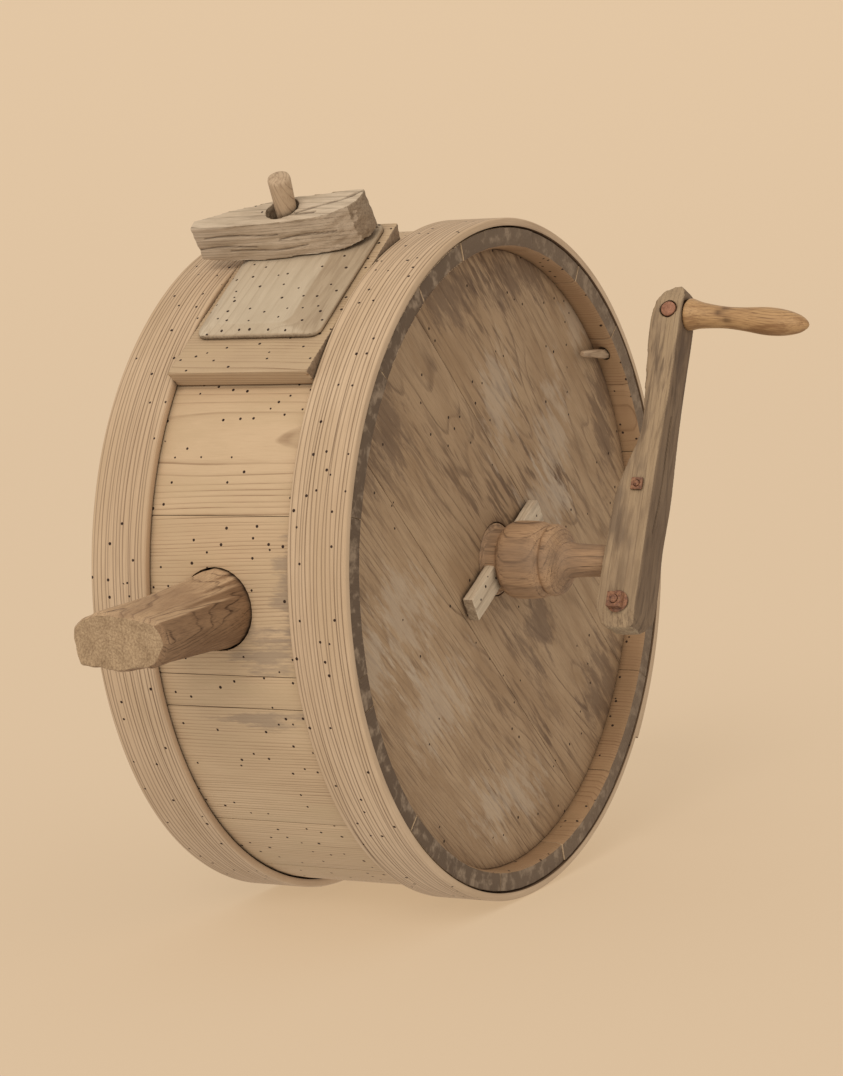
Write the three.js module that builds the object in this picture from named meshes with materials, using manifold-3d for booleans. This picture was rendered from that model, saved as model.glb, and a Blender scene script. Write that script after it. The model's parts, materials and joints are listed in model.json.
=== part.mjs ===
// Drum butter churn: a short coopered drum lying on its side, with two wide wooden hoops, a lidded mouth,
// a hewn bung and a hand crank that turns a four-paddled dasher inside. Millimetres, +Z up.
// +X runs along the drum's axis towards the crank, -Y is the side with the bung.
// The origin lies on the line where the hoops touch the ground, under the middle of the drum.
import * as THREE from "three";
import { mergeVertices } from "three/addons/utils/BufferGeometryUtils.js";
import Module from "manifold-3d";

const wasm = await Module();
wasm.setup();

// ---- Driving dimensions ----
const GAP = 0.3; // between pieces that touch
const RUNNING = 0.5; // round what turns or slides
const ROUND = 72; // sides of the drum's circles
const SMALL_ROUND = 24; // sides of turned pieces

const HOOP_R = 254; // outside of the hoops
const HOOP_T = 7;
const DRUM_HALF = 104.5; // half the drum's width along its axis
const HOOP_W = 46.5;
const STAVE_R = HOOP_R - HOOP_T - GAP; // outside of the staves
const STAVE_T = 15;
const STAVE_IN = STAVE_R - STAVE_T;
const CHIME_BEVEL = 5; // width of the bevel inside each rim
const CHIME_RISE = 1.5;
const LAP_T = 4; // each hoop's lap stands proud on the hidden side
const LAP_FROM = 228;
const LAP_TO = 262;

const HEAD_RECESS = 18.5; // rim to the outer face of a head
const HEAD_T = 16;
const CROZE_W = 8.6; // groove that holds the heads
const CROZE_D = 5.3;
const TONGUE_W = 8;
const HEAD_OUT = DRUM_HALF - HEAD_RECESS;
const HEAD_IN = HEAD_OUT - HEAD_T;
const HEAD_JOINTS = [-64, 62]; // where the head's three boards meet, across their length
const HEAD_GRAIN = 45; // slope of the boards

// Where the staves meet, in degrees from the top towards the front.
const STAVE_JOINTS = [
  14.7, 31, 50, 75.3, 101.5, 107.3, 132.5, 150, 167.2, 192, 216, 239.3, 262, 284, 299, 310.5, 329, 348,
];

const MOUTH_TILT = 34.5; // the mouth's plane, from the top towards the front
const COLLAR = { x0: -57.6, x1: 57.6, y0: -83, y1: 86, top: 251, seat: 243 };
const MOUTH = { x0: -37, x1: 38, y0: -30, y1: 62 };
const LID = { x0: -50.5, x1: 51.5, y0: -46.5, y1: 81, edge: 3.4, thick: 7, corner: 8 };
const FIELD = { left: 8, right: 27, front: 10, rear: 10 }; // bevels round the lid's raised field
const PLUG_DEEP = 15; // how far the lid's plug reaches into the mouth
const BLOCK_T = 33;
const BLOCK_HOLE = { x: -9.5, y: 54, r: 12 };
const PEG_LEAN = 10; // the vent peg leans towards the crank
const PEG_R = 8.6; // at its top
const PEG_TAPER = 2.4;
const PEG_SHOWS = 27; // length above the block

const BUNG = { x: -5, z: -2, r: 29, out: 367, inner: 228, endX: -3.5, endZ: -6, endScale: 1.06 };

const SHAFT_R = 22; // the dasher's barrel
const JOURNAL_R = 27.5; // where the shaft turns in the front head
const FLANGE_R = 34;
const REAR_JOURNAL_R = 11.6;
const BEARING_T = 20;
const BEARING_SIDE = 90;
const KEY = { length: 128, width: 20, thick: 9, x: 92.4, angle: 28 };
const NECK_R = 11.6;

const PADDLE = { reach: 200, thick: 10, x0: -44, x1: 58, tenonX0: -36, tenonX1: 50, root: 10.5 };
const PADDLE_PIN_R = 3;

const ARM = { x0: 182, x1: 215, lean: 25.5, low: -54, high: 214, wideLow: 18, wideHigh: 12.6 };
const TENON = 17; // side of the shaft's square end
const TENON_END = 208;
const GRIP_Z = 193; // from the shaft's axis to the grip, along the arm
const GRIP_DROOP = 6; // the grip's bore was bored a little out of square
const GRIP_LENGTH = 96;
const GRIP_TENON_R = 9;
const PIN_R = 5.6;
const BOLT = { x: 200, z: -36, r: 3.2, washerR: 8.5, nut: 11.1 };
const RIVET = { x: 201.5, z: 54, r: 2.4, burr: 9 };

const RIM_PEG_R = 4.8;

// ---- Small tools ----
const rad = THREE.MathUtils.degToRad;
const V = (x, y, z) => new THREE.Vector3(x, y, z);

// A closed mesh as a solid: equal vertices shared, slivers dropped, faces turned out.
function solid(geometry) {
  const bare = new THREE.BufferGeometry();
  bare.setAttribute("position", geometry.getAttribute("position"));
  if (geometry.index) bare.setIndex(geometry.index);
  const merged = mergeVertices(bare, 1e-3);
  const source = merged.index.array;
  const kept = [];
  for (let i = 0; i < source.length; i += 3) {
    const [a, b, c] = [source[i], source[i + 1], source[i + 2]];
    if (a !== b && b !== c && c !== a) kept.push(a, b, c);
  }
  const vertProperties = new Float32Array(merged.attributes.position.array);
  const make = (indices) =>
    new wasm.Manifold(new wasm.Mesh({ numProp: 3, vertProperties, triVerts: new Uint32Array(indices) }));
  const made = make(kept);
  if (made.volume() > 0) return made;
  for (let i = 0; i < kept.length; i += 3) [kept[i], kept[i + 1]] = [kept[i + 1], kept[i]];
  return make(kept);
}

// A solid as a flat-shaded three.js geometry.
function geometryOf(made) {
  const mesh = made.getMesh();
  const geometry = new THREE.BufferGeometry();
  geometry.setAttribute("position", new THREE.BufferAttribute(new Float32Array(mesh.vertProperties), 3));
  geometry.setIndex(new THREE.BufferAttribute(new Uint32Array(mesh.triVerts), 1));
  const flat = geometry.toNonIndexed();
  flat.computeVertexNormals();
  return flat;
}

// A profile of [x, radius] pairs turned round the X axis.
function turned(profile, sides = SMALL_ROUND) {
  const points = profile.map(([x, r]) => new THREE.Vector2(r, x));
  return solid(new THREE.LatheGeometry(points, sides).rotateZ(-Math.PI / 2));
}

// A flat outline of [y, z] pairs drawn out along X.
function prism(outline, x0, x1, hole) {
  const shape = new THREE.Shape(outline.map(([y, z]) => new THREE.Vector2(y, z)));
  if (hole) shape.holes.push(new THREE.Path(hole.map(([y, z]) => new THREE.Vector2(y, z))));
  const geometry = new THREE.ExtrudeGeometry(shape, { depth: x1 - x0, bevelEnabled: false });
  const turn = new THREE.Matrix4().makeBasis(V(0, 1, 0), V(0, 0, 1), V(1, 0, 0));
  return solid(geometry.applyMatrix4(turn).translate(x0, 0, 0));
}

// A flat outline of [x, y] pairs drawn out upwards.
function plate(outline, z0, z1, place) {
  const shape = new THREE.Shape(outline.map(([x, y]) => new THREE.Vector2(x, y)));
  const geometry = new THREE.ExtrudeGeometry(shape, { depth: z1 - z0, bevelEnabled: false });
  geometry.translate(0, 0, z0);
  if (place) geometry.applyMatrix4(place);
  return solid(geometry);
}

function block(low, high, place) {
  const size = high.clone().sub(low);
  const middle = high.clone().add(low).multiplyScalar(0.5);
  const geometry = new THREE.BoxGeometry(size.x, size.y, size.z).translate(middle.x, middle.y, middle.z);
  if (place) geometry.applyMatrix4(place);
  return solid(geometry);
}

// A round rod, tapered if its two radii differ.
function rod(from, to, r0, r1 = r0, sides = 16) {
  const way = to.clone().sub(from);
  const geometry = new THREE.CylinderGeometry(r1, r0, way.length(), sides);
  const turn = new THREE.Quaternion().setFromUnitVectors(V(0, 1, 0), way.clone().normalize());
  const middle = from.clone().add(to).multiplyScalar(0.5);
  geometry.applyMatrix4(new THREE.Matrix4().makeRotationFromQuaternion(turn));
  return solid(geometry.translate(middle.x, middle.y, middle.z));
}

// Rings of the same number of points joined into one skin, closed at both ends.
function loft(rings) {
  const positions = [];
  const index = [];
  const count = rings[0].length;
  const centre = (ring) => ring.reduce((sum, p) => sum.add(p), V(0, 0, 0)).divideScalar(count);
  rings.flat().forEach((p) => positions.push(p.x, p.y, p.z));
  for (const ring of [rings[0], rings[rings.length - 1]]) positions.push(...centre(ring).toArray());
  const firstHub = rings.length * count;
  for (let i = 0; i < count; i++) {
    const j = (i + 1) % count;
    for (let k = 0; k < rings.length - 1; k++) {
      const low = k * count;
      const high = low + count;
      index.push(low + i, low + j, high + j, low + i, high + j, high + i);
    }
    const last = (rings.length - 1) * count;
    index.push(firstHub, j, i, firstHub + 1, last + i, last + j);
  }
  const geometry = new THREE.BufferGeometry();
  geometry.setAttribute("position", new THREE.Float32BufferAttribute(positions, 3));
  geometry.setIndex(index);
  return solid(geometry);
}

// A point on a circle round the drum's axis, its angle taken from the top towards the front.
const polar = (degrees, r) => [-r * Math.sin(rad(degrees)), r * Math.cos(rad(degrees))];
const circle = (r, sides) => Array.from({ length: sides }, (_, i) => polar((360 * i) / sides, r));

// A smooth outline through a few points.
function smooth(points, count, closed = true) {
  const curve = new THREE.CatmullRomCurve3(points.map(([a, b]) => V(a, b, 0)), closed, "centripetal");
  return curve.getSpacedPoints(count).slice(0, closed ? count : count + 1).map((p) => [p.x, p.y]);
}

// A rectangle with rounded corners.
function rounded(x0, x1, y0, y1, r, steps = 4) {
  const corners = [[x1 - r, y1 - r, 0], [x0 + r, y1 - r, 90], [x0 + r, y0 + r, 180], [x1 - r, y0 + r, 270]];
  return corners.flatMap(([x, y, start]) =>
    Array.from({ length: steps + 1 }, (_, i) => {
      const turn = rad(start + (90 * i) / steps);
      return [x + r * Math.cos(turn), y + r * Math.sin(turn)];
    }),
  );
}

const tilted = new THREE.Matrix4().makeRotationX(rad(MOUTH_TILT));
const leaning = new THREE.Matrix4().makeRotationX(-rad(ARM.lean));

// ---- Materials ----
const wood = (color, roughness = 0.8) => new THREE.MeshStandardMaterial({ color, roughness, metalness: 0 });
const pine = wood(0xcfb283);
const hoopPine = wood(0xcdb083);
const headWood = wood(0x8f7657);
const lidWood = wood(0xc9b596);
const greyWood = wood(0x9c8a6d);
const branchWood = wood(0x8a6a48);
const turnedWood = wood(0x7d5c3e, 0.7);
const armWood = wood(0x97826a);
const gripWood = wood(0xb07a42, 0.55);
const iron = new THREE.MeshStandardMaterial({ color: 0x6e4433, roughness: 0.85, metalness: 0.6 });

const churn = new THREE.Group();
churn.position.z = HOOP_R;

function add(name, made, material) {
  const mesh = new THREE.Mesh(geometryOf(made), material.clone());
  mesh.name = name;
  churn.add(mesh);
}

// ---- Nails, in pilot holes that are their own shape ----
const NAIL_R = 1.6;
const nailShape = (from, to, headR, extra) => {
  const way = to.clone().sub(from).normalize();
  const neck = from.clone().addScaledVector(way, 1.2 + extra);
  const start = from.clone().addScaledVector(way, -extra);
  const shank = rod(start, to.clone().addScaledVector(way, extra), NAIL_R + extra, NAIL_R + extra, 8);
  return shank.add(rod(start, neck, headR + extra, headR + extra, 12));
};

function hoopNails() {
  return [1, -1].flatMap((side) =>
    [0, 1].map((i) => {
      const angle = LAP_FROM + 4 + 6 * i;
      const x = side * (DRUM_HALF - HOOP_W * (0.3 + 0.4 * i));
      const [y0, z0] = polar(angle, HOOP_R + LAP_T + 0.6);
      const [y1, z1] = polar(angle, STAVE_R - 9);
      const name = (side > 0 ? "front" : "rear") + "_hoop_nail_" + (i + 1);
      return { name, from: V(x, y0, z0), to: V(x, y1, z1), headR: 3.2 };
    }),
  );
}

function collarNails() {
  const places = [[-49, -71], [49, -71], [-49, 73], [49, 73]];
  return places.map(([x, y], i) => ({
    name: "collar_nail_" + (i + 1),
    from: V(x, y, COLLAR.top - 0.4).applyMatrix4(tilted),
    to: V(x, y, COLLAR.top - 24).applyMatrix4(tilted),
    headR: 2.6,
  }));
}

const nails = [...hoopNails(), ...collarNails()];
const pilots = nails.map(({ from, to, headR }) => nailShape(from, to, headR, GAP));

// ---- Staves: one turned shell, cut by the seats and holes, then parted into staves ----
function shell() {
  const half = DRUM_HALF;
  const crozeMid = HEAD_OUT - HEAD_T / 2;
  const right = [
    [half, STAVE_R], [half, STAVE_IN + CHIME_RISE], [half - CHIME_BEVEL, STAVE_IN],
    [crozeMid + CROZE_W / 2, STAVE_IN], [crozeMid + CROZE_W / 2, STAVE_IN + CROZE_D],
    [crozeMid - CROZE_W / 2, STAVE_IN + CROZE_D], [crozeMid - CROZE_W / 2, STAVE_IN],
  ];
  const left = right.map(([x, r]) => [-x, r]).reverse();
  const profile = [...right, ...left, right[0]];
  return turned(profile, ROUND);
}

// A solid carried to another place.
const moved = (made, place) => solid(geometryOf(made).applyMatrix4(place));

const collarBox = (grow) =>
  block(
    V(COLLAR.x0 - grow, COLLAR.y0 - grow, COLLAR.seat),
    V(COLLAR.x1 + grow, COLLAR.y1 + grow, COLLAR.top + 30),
    tilted,
  );
const mouthBox = block(V(MOUTH.x0, MOUTH.y0, 205), V(MOUTH.x1, MOUTH.y1, 275), tilted);
const bungHoleR = BUNG.r + RUNNING;
const bungHole = rod(V(BUNG.x, -210, BUNG.z), V(BUNG.x, -265, BUNG.z), bungHoleR, bungHoleR, 32);

const rimPeg = {
  from: V(93, 150, 141.5),
  to: V(93, 201, 137.5),
};

function staveWedge(from, to) {
  const trim = THREE.MathUtils.radToDeg(GAP / 2 / STAVE_IN);
  const reach = STAVE_R * 1.3;
  const arc = [from + trim, (from + to) / 2, to - trim].map((angle) => polar(angle, reach));
  return prism([[0, 0], ...arc], -DRUM_HALF - 5, DRUM_HALF + 5);
}

function staves() {
  let body = shell().subtract(collarBox(GAP)).subtract(mouthBox).subtract(bungHole);
  const pegEnd = rimPeg.to.clone().add(V(0, GAP, 0));
  body = body.subtract(rod(rimPeg.from, pegEnd, RIM_PEG_R + GAP));
  for (const pilot of pilots) body = body.subtract(pilot);
  STAVE_JOINTS.forEach((from, i) => {
    const to = i + 1 < STAVE_JOINTS.length ? STAVE_JOINTS[i + 1] : STAVE_JOINTS[0] + 360;
    add("stave_" + String(i + 1).padStart(2, "0"), body.intersect(staveWedge(from, to)), pine);
  });
}

// ---- Hoops: a bent wooden strip whose end laps over itself ----
function hoops() {
  const lift = (angle) => {
    if (angle < LAP_FROM || angle > LAP_TO) return 0;
    return (LAP_T * (LAP_TO - angle)) / (LAP_TO - LAP_FROM);
  };
  const angles = Array.from({ length: ROUND }, (_, i) => (360 * i) / ROUND);
  angles.push(LAP_FROM - 0.4, LAP_FROM, LAP_TO);
  angles.sort((a, b) => a - b);
  const outer = angles.map((angle) => polar(angle, HOOP_R + lift(angle)));
  const inner = circle(STAVE_R + GAP, ROUND);
  for (const side of [1, -1]) {
    const x0 = side > 0 ? DRUM_HALF - HOOP_W : -DRUM_HALF;
    let hoop = prism(outer, x0, x0 + HOOP_W, inner);
    for (const pilot of pilots) hoop = hoop.subtract(pilot);
    add(side > 0 ? "front_hoop" : "rear_hoop", hoop, hoopPine);
  }
}

// ---- Heads: three boards each, with a thinned tongue round the edge that sits in the staves' groove ----
function heads() {
  const flank = (HEAD_T - TONGUE_W) / 2;
  const rimR = STAVE_IN - GAP;
  const tongueR = STAVE_IN + CROZE_D - GAP;
  for (const side of [1, -1]) {
    const xs = [HEAD_IN, HEAD_IN + flank, HEAD_OUT - flank, HEAD_OUT].map((x) => x * side);
    const profile = [[xs[0], 0], [xs[0], rimR], [xs[1], rimR], [xs[1], tongueR]];
    profile.push([xs[2], tongueR], [xs[2], rimR], [xs[3], rimR], [xs[3], 0]);
    let disc = turned(profile, ROUND);
    if (side > 0) disc = disc.subtract(rod(V(60, 0, 0), V(95, 0, 0), JOURNAL_R + RUNNING, undefined, 32));
    const edges = [-300, ...HEAD_JOINTS, 300];
    const turn = new THREE.Matrix4().makeRotationX(-side * rad(HEAD_GRAIN));
    for (let i = 0; i < 3; i++) {
      const low = V(-120, -300, edges[i] + GAP / 2);
      const high = V(120, 300, edges[i + 1] - GAP / 2);
      const name = (side > 0 ? "front" : "rear") + "_head_board_" + (i + 1);
      add(name, disc.intersect(block(low, high, turn)), headWood);
    }
  }
}

// ---- The flat collar round the mouth, hollowed to sit on the staves ----
function collar() {
  const roundOff = turned([[-90, 0], [-90, STAVE_R + GAP], [90, STAVE_R + GAP], [90, 0]], ROUND);
  const below = block(V(-90, -120, 150), V(90, 120, COLLAR.seat + GAP), tilted);
  // The board's ends are cut towards the drum's axis.
  const { x0, x1, y0, y1, top, seat } = COLLAR;
  const low = seat - 25;
  const inward = low / top;
  const ends = [[y0, top], [y0 * inward, low], [y1 * inward, low], [y1, top]];
  let board = moved(prism(ends, x0, x1), tilted).subtract(roundOff.intersect(below)).subtract(mouthBox);
  for (const pilot of pilots) board = board.subtract(pilot);
  add("mouth_collar", board, pine);
}

function driveNails() {
  for (const { name, from, to, headR } of nails) add(name, nailShape(from, to, headR, 0), iron);
}

function headPeg() {
  const round = rimPeg.from.clone().add(V(0, -3.5, 0.3));
  const peg = rod(rimPeg.from, rimPeg.to, RIM_PEG_R - 1, RIM_PEG_R);
  const tip = rod(round, rimPeg.from.clone().add(V(0, 1, 0)), 2, RIM_PEG_R - 1);
  add("head_retaining_peg", peg.add(tip), greyWood);
}

// ---- Lid with its plug, turn block and vent peg ----
const LID_BASE = COLLAR.top + GAP;
const LID_TOP = LID_BASE + LID.thick;
const pegAxis = V(Math.sin(rad(PEG_LEAN)), 0, Math.cos(rad(PEG_LEAN)));
const pegMiddle = V(BLOCK_HOLE.x, BLOCK_HOLE.y, LID_TOP + GAP + BLOCK_T / 2);
const alongPeg = (s) => pegMiddle.clone().addScaledVector(pegAxis, s).applyMatrix4(tilted);
const PEG_TOP = BLOCK_T / 2 + PEG_SHOWS;
const PEG_LOW = -BLOCK_T / 2 - LID.thick - PLUG_DEEP - 5;
const pegRod = (extra) =>
  rod(alongPeg(PEG_LOW), alongPeg(PEG_TOP), PEG_R - PEG_TAPER + extra, PEG_R + extra, 20);

function lid() {
  const edge = rounded(LID.x0, LID.x1, LID.y0, LID.y1, LID.corner);
  const { left, right, front, rear } = FIELD;
  const field = rounded(LID.x0 + left, LID.x1 - right, LID.y0 + front, LID.y1 - rear, LID.corner);
  const ring = (outline, z) => outline.map(([x, y]) => V(x, y, z).applyMatrix4(tilted));
  const hole = pegRod(GAP);
  const board = loft([ring(edge, LID_BASE), ring(edge, LID_BASE + LID.edge), ring(field, LID_TOP)]);
  add("lid_board", board.subtract(hole), lidWood);
  const inset = 1.5;
  const outline = rounded(MOUTH.x0 + inset, MOUTH.x1 - inset, MOUTH.y0 + inset, MOUTH.y1 - inset, 4, 2);
  const plug = plate(outline, LID_BASE - GAP - PLUG_DEEP, LID_BASE - GAP, tilted);
  add("lid_plug", plug.subtract(hole), lidWood);
}

function turnBlock() {
  // Leaf-shaped from above: the front edge from the narrow end to the thick end, then back along the rear.
  const outline = [
    [-80, 33], [-50, 33.5], [-15, 36], [8, 38], [24, 41], [36, 45.5], [45.5, 52], [51, 60.5], [52.5, 68],
    [51, 74], [36, 73.5], [14, 71], [-6, 68.5], [-27, 63.5], [-47, 56.5], [-68, 48], [-80, 43],
  ];
  const base = LID_TOP + GAP;
  const body = plate(outline, base, base + BLOCK_T, tilted);
  const { x, y, r } = BLOCK_HOLE;
  const through = (z) => V(x, y, z).applyMatrix4(tilted);
  const hole = rod(through(base - 5), through(base + BLOCK_T + 5), r);
  const underCut = [[-120, base - 10], [-58, base - 10], [-58, base], [-82, base + 4], [-120, base + 4]];
  const wedge = new THREE.Matrix4().makeBasis(V(1, 0, 0), V(0, 0, 1), V(0, -1, 0)).premultiply(
    new THREE.Matrix4().makeTranslation(0, 100, 0),
  );
  const cut = plate(underCut, 0, 120, wedge.premultiply(tilted));
  add("turn_block", body.subtract(hole).subtract(cut), greyWood);
}

// ---- The bung: a hewn length of branch, round where it enters the stave, split flat at its outer end ----
function bung() {
  const end = [
    [-36, 9], [-16, 14.5], [6, 12.5], [26, 10], [31.5, 7],
    [37, -5.5], [27, -21.5], [-4, -25.5], [-37, -21.5], [-40, 0],
  ];
  const sides = 28;
  const middle = -5.5; // height of the end's middle in its outline
  const reachAt = (angle) => {
    // Distance from the middle of the end face to its outline in one direction.
    const ray = new THREE.Vector2(Math.cos(angle), Math.sin(angle));
    let best = 0;
    end.forEach((a, i) => {
      const b = end[(i + 1) % end.length];
      const edge = new THREE.Vector2(b[0] - a[0], b[1] - a[1]);
      const start = new THREE.Vector2(a[0], a[1] - middle);
      const cross = ray.cross(edge);
      if (Math.abs(cross) < 1e-9) return;
      const along = start.cross(edge) / cross;
      const share = start.cross(ray) / cross;
      if (along > 0 && share >= -1e-9 && share <= 1 + 1e-9) best = Math.max(best, along);
    });
    return best;
  };
  const ringAt = (y, blend, shrink) =>
    Array.from({ length: sides }, (_, i) => {
      const angle = (2 * Math.PI * i) / sides;
      const r = THREE.MathUtils.lerp(BUNG.r, reachAt(angle) * BUNG.endScale, blend) * shrink;
      const x = THREE.MathUtils.lerp(BUNG.x, BUNG.endX, blend);
      const z = THREE.MathUtils.lerp(BUNG.z, BUNG.endZ, blend);
      return V(x + r * Math.cos(angle), -y, z + r * Math.sin(angle));
    });
  const start = STAVE_R + 1;
  const rings = [ringAt(BUNG.inner, 0, 0.97), ringAt(BUNG.inner + 6, 0, 1), ringAt(start, 0, 1)];
  for (const share of [0.15, 0.4, 0.7, 0.95]) {
    rings.push(ringAt(start + (BUNG.out - start) * share, Math.pow(share, 0.8), 1));
  }
  rings.push(ringAt(BUNG.out, 1, 0.9));
  add("bung", loft(rings), branchWood);
}

// ---- Dasher: shaft, key and paddles ----
const paddleTurn = (i) => new THREE.Matrix4().makeRotationX(rad(20 + 90 * i));

function paddleTenon(grow) {
  const half = PADDLE.thick / 2 + grow;
  const low = V(PADDLE.tenonX0 - grow, -half, PADDLE.root - grow);
  return block(low, V(PADDLE.tenonX1 + grow, half, SHAFT_R + 3));
}

function pinRod(extra, i) {
  const place = (y) => V((PADDLE.tenonX0 + PADDLE.tenonX1) / 2, y, 16).applyMatrix4(paddleTurn(i));
  const reach = 13 + (extra > 0 ? 5 : 0);
  return rod(place(-reach), place(reach), PADDLE_PIN_R + extra, undefined, 12);
}

function keyBlock(grow) {
  const { length, width, thick, x, angle } = KEY;
  const reach = length / 2 + grow;
  const turn = new THREE.Matrix4().makeRotationX(rad(angle));
  const low = V(x - thick / 2 - grow, -reach, -width / 2 - grow);
  return block(low, V(x + thick / 2 + grow, reach, width / 2 + grow), turn);
}

function squareEnd(grow, from, to) {
  const half = TENON / 2 + grow;
  return block(V(from, -half, -half), V(to, half, half), leaning);
}

function shaft() {
  const journalEnd = -HEAD_IN + 1;
  const shoulder = -HEAD_IN + BEARING_T + 1;
  const profile = [
    [journalEnd, 0], [journalEnd, REAR_JOURNAL_R], [shoulder, REAR_JOURNAL_R], [shoulder, SHAFT_R],
    [HEAD_IN - 7, SHAFT_R], [HEAD_IN - 5, FLANGE_R], [HEAD_IN - RUNNING, FLANGE_R],
    [HEAD_IN - RUNNING, JOURNAL_R], [HEAD_OUT + 0.5, JOURNAL_R], [HEAD_OUT + 1, 24], [97.5, 24],
    [99, 27.5], [104, 29.2], [123, 29.2], [129.5, 27.6], [131, 25.4], [133, 25.4], [134.5, 27.4], [139.5, 26.4],
    [143.5, 21.5], [146.5, 14.5], [152, 12.8], [ARM.x0 - 1, NECK_R], [ARM.x0 - 1, 0],
  ];
  let made = turned(profile).add(squareEnd(0, ARM.x0 - 2, TENON_END));
  made = made.subtract(keyBlock(GAP));
  for (let i = 0; i < 4; i++) {
    made = made.subtract(moved(paddleTenon(GAP), paddleTurn(i))).subtract(pinRod(GAP, i));
  }
  add("dasher_shaft", made, turnedWood);
  add("shaft_key", keyBlock(0), lidWood);
}

function paddles() {
  const half = PADDLE.thick / 2;
  const outline = [
    [PADDLE.x0, SHAFT_R + 1.5], [PADDLE.x1, SHAFT_R + 1.5], [PADDLE.x1, PADDLE.reach - 12],
    [PADDLE.x1 - 12, PADDLE.reach], [PADDLE.x0 + 12, PADDLE.reach], [PADDLE.x0, PADDLE.reach - 12],
  ];
  const face = new THREE.Matrix4().makeBasis(V(1, 0, 0), V(0, 0, 1), V(0, -1, 0));
  const board = plate(outline, -half, half, face).add(paddleTenon(0));
  for (let i = 0; i < 4; i++) {
    add("paddle_" + (i + 1), moved(board, paddleTurn(i)).subtract(pinRod(GAP, i)), branchWood);
    add("paddle_pin_" + (i + 1), pinRod(0, i), greyWood);
  }
}

function rearBearing() {
  const side = BEARING_SIDE / 2;
  const x0 = -HEAD_IN + GAP;
  const board = block(V(x0, -side, -side), V(x0 + BEARING_T, side, side));
  const bore = rod(V(-80, 0, 0), V(-40, 0, 0), REAR_JOURNAL_R + RUNNING);
  add("rear_bearing", board.subtract(bore), branchWood);
}

// ---- Crank arm, its fasteners and the grip, made upright and then leant over ----
// Carries a prism's outline from [y, z] to [x, z], its length along Y.
const toFront = new THREE.Matrix4().makeBasis(V(0, -1, 0), V(1, 0, 0), V(0, 0, 1));
const gripAxis = V(Math.cos(rad(GRIP_DROOP)), 0, -Math.sin(rad(GRIP_DROOP)));
const gripFoot = V(ARM.x1, 0, GRIP_Z).applyMatrix4(leaning);

function armBody() {
  const { x0, x1, low, high, wideLow, wideHigh } = ARM;
  const side = smooth([
    [wideLow * 0.55, low], [wideLow * 0.95, low + 9], [wideLow, low + 30], [wideLow * 0.95, 60],
    [wideHigh * 1.08, 150], [wideHigh, high - 12], [wideHigh * 0.55, high],
  ], 18, false);
  const flanks = prism([...side, ...side.map(([y, z]) => [-y, z]).reverse()], x0, x1);
  // The inner side is full at the shaft, waisted above it and a little fuller again at the round top.
  const inner = smooth([
    [x0, 28], [x0 + 1.5, 48], [190, 72], [195.5, 98], [193.6, 126], [190.5, 156], [190, 190], [192, 202],
  ], 18, false);
  const outline = [
    [x0 + 8, low], [x0 + 2.5, low + 3], [x0, low + 10], ...inner, [196.5, high - 5], [203, high - 0.5],
    [208, high], [212.5, high - 3], [x1, high - 9], [x1, low + 12], [x1 - 2, low + 4], [x1 - 6, low],
  ];
  const front = moved(prism(outline, -wideLow - 5, wideLow + 5), toFront);
  return moved(flanks.intersect(front), leaning);
}

const crosswise = (x, y0, y1, z, r0, r1, sides) =>
  rod(V(x, y0, z).applyMatrix4(leaning), V(x, y1, z).applyMatrix4(leaning), r0, r1, sides);
const squarePlate = (x, y0, y1, z, side) =>
  block(V(x - side / 2, y0, z - side / 2), V(x + side / 2, y1, z + side / 2), leaning);

function gripTenon(extra) {
  const inner = gripFoot.clone().addScaledVector(gripAxis, -20 - extra);
  const outer = gripFoot.clone().addScaledVector(gripAxis, 2);
  return rod(inner, outer, GRIP_TENON_R + extra, undefined, 20);
}

function crank() {
  const boltFace = ARM.wideLow;
  const rivetFace = ARM.wideLow * 0.96;
  const pinFace = ARM.wideHigh;
  const arm = armBody()
    .subtract(squareEnd(GAP, ARM.x0 - 5, TENON_END + GAP))
    .subtract(gripTenon(GAP))
    .subtract(crosswise(ARM.x1 - 12, -30, 30, GRIP_Z, PIN_R + GAP))
    .subtract(crosswise(BOLT.x, -30, 30, BOLT.z, BOLT.r + GAP))
    .subtract(crosswise(RIVET.x, -30, 30, RIVET.z, RIVET.r + GAP));
  add("crank_arm", arm, armWood);

  add("grip_pin", crosswise(ARM.x1 - 12, -pinFace - 0.8, pinFace + 0.8, GRIP_Z, PIN_R), greyWood);

  const bolt = crosswise(BOLT.x, -boltFace - 9.5, boltFace + 1, BOLT.z, BOLT.r)
    .add(crosswise(BOLT.x, boltFace + GAP, boltFace + 3.5, BOLT.z, 7.5, 4.5));
  add("arm_bolt", bolt, iron);
  const clear = crosswise(BOLT.x, -40, 40, BOLT.z, BOLT.r + GAP);
  const washer = crosswise(BOLT.x, -boltFace - 1.9, -boltFace - GAP, BOLT.z, BOLT.washerR, undefined, 20);
  add("arm_washer", washer.subtract(clear), iron);
  const nut = squarePlate(BOLT.x, -boltFace - 7.5, -boltFace - 2.2, BOLT.z, BOLT.nut);
  add("arm_nut", nut.subtract(clear), iron);

  const rivet = crosswise(RIVET.x, -rivetFace - 3.2, rivetFace + 1, RIVET.z, RIVET.r, undefined, 12)
    .add(crosswise(RIVET.x, rivetFace + GAP, rivetFace + 2, RIVET.z, 4.5, 3));
  add("arm_rivet", rivet, iron);
  const burr = squarePlate(RIVET.x, -rivetFace - 2, -rivetFace - GAP, RIVET.z, RIVET.burr);
  add("rivet_burr", burr.subtract(crosswise(RIVET.x, -40, 40, RIVET.z, RIVET.r + GAP)), iron);
}

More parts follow.
